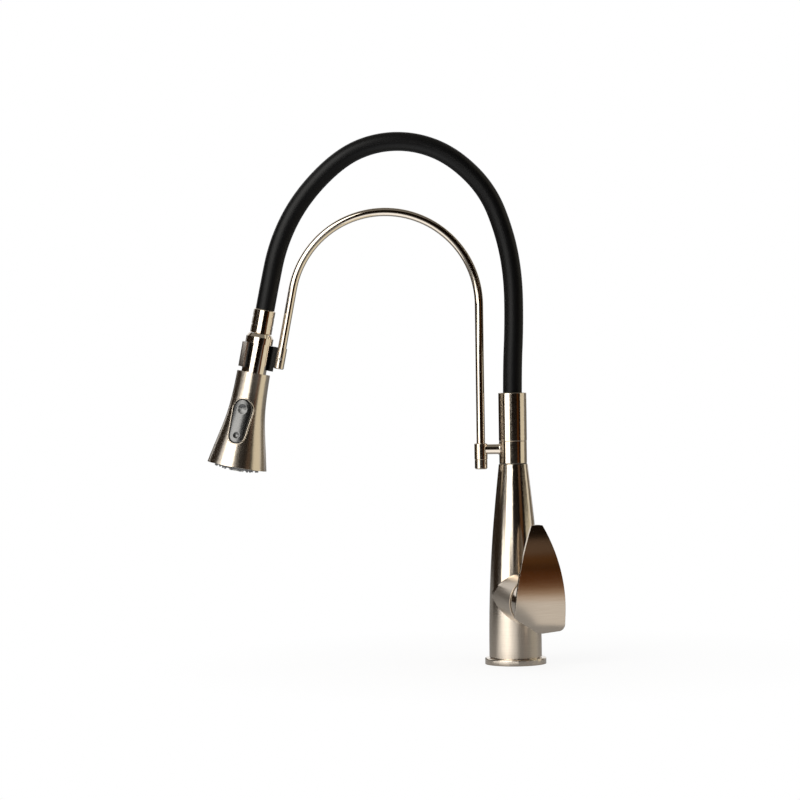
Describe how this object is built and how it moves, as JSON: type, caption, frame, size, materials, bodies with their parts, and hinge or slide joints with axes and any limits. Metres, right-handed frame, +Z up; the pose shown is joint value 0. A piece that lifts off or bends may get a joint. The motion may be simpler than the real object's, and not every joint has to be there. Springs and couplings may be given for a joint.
{
  "type": "pull-down kitchen faucet",
  "caption": "Pull-down kitchen faucet in brushed nickel with a black rubber hose arching over a bent support arm, a flared spray head with a rocker button and a leaf-shaped side lever.",
  "frame": {"origin": "centre of the base plate underside, on the counter and on the column axis", "axes": "+Z up along the column, -X towards the spray head, -Y towards the lever side (front in the picture)"},
  "size_m": [0.3353, 0.0936, 0.5052],
  "materials": {
    "brushed_nickel": "brushed",
    "polished_nickel": "polished",
    "stainless_steel": "satin",
    "brass": "machined",
    "black_rubber": "matte",
    "black_plastic": "satin",
    "white_plastic": "satin",
    "grey_plastic": "satin",
    "grey_silicone": "soft"
  },
  "bodies": {
    "valve": {"base_plate": "brushed_nickel", "base_gasket": "black_rubber", "faucet_body": "brushed_nickel", "cartridge_seal": "black_rubber", "cartridge": "white_plastic", "cartridge_nut": "brass", "swivel_spigot": "brass", "lower_o_ring": "black_rubber", "upper_o_ring": "black_rubber", "wear_washer": "white_plastic", "snap_ring": "stainless_steel"},
    "lever_spindle": {"cartridge_spindle": "stainless_steel"},
    "lever": {"lever_pin": "stainless_steel", "lever_hub": "brushed_nickel", "lever_blade": "brushed_nickel"},
    "spout": {"swivel_ring": "brushed_nickel", "socket_cap": "brushed_nickel", "socket_screw": "stainless_steel", "support_arm": "polished_nickel", "holder_clip": "brushed_nickel", "clip_pin": "stainless_steel", "clip_liner": "black_plastic", "hose_sleeve": "brushed_nickel", "hose_insert": "brass", "spray_hose": "black_rubber"},
    "hose_end": {"hose_ferrule": "polished_nickel", "hose_nipple": "stainless_steel"},
    "spray_head": {"swivel_nut": "polished_nickel", "spray_neck": "polished_nickel", "neck_washer": "black_rubber", "check_valve": "white_plastic", "head_shell": "brushed_nickel", "head_core": "white_plastic", "button_rim": "polished_nickel", "button_pin": "stainless_steel", "spray_face": "grey_plastic", "nozzle_mat": "grey_silicone", "aerator": "white_plastic"},
    "spray_button": {"spray_button": "black_plastic"}
  },
  "joints": [
    {"name": "spout_swivel", "type": "hinge", "parent": "valve", "child": "spout", "pos_m": [0, 0, 0.2], "axis": [0, 0, 1], "range_deg": [-180, 180]},
    {"name": "lever_turn", "type": "hinge", "parent": "valve", "child": "lever_spindle", "pos_m": [0.01752, -0.04338, 0.0615], "axis": [0.3729, -0.9229, -0.0958], "range_deg": [-45, 45]},
    {"name": "lever_lift", "type": "hinge", "parent": "lever_spindle", "child": "lever", "pos_m": [0.01752, -0.04338, 0.0615], "axis": [0.9272, 0.3746, 0], "range_deg": [0, 20]},
    {"name": "head_pull", "type": "slide", "parent": "spout", "child": "hose_end", "axis": [0.3836, -0.9205, -0.0746], "range_m": [0, 0.06], "deforming": ["spray_hose"]},
    {"name": "head_twist", "type": "hinge", "parent": "hose_end", "child": "spray_head", "pos_m": [-0.26183, 0, 0.19094], "axis": [0.1908, 0, 0.9816], "range_deg": [-180, 180]},
    {"name": "spray_toggle", "type": "hinge", "parent": "spray_head", "child": "spray_button", "pos_m": [-0.25694, -0.01277, 0.23158], "axis": [0.9565, -0.225, -0.1859], "range_deg": [-2.5, 2.5]}
  ]
}
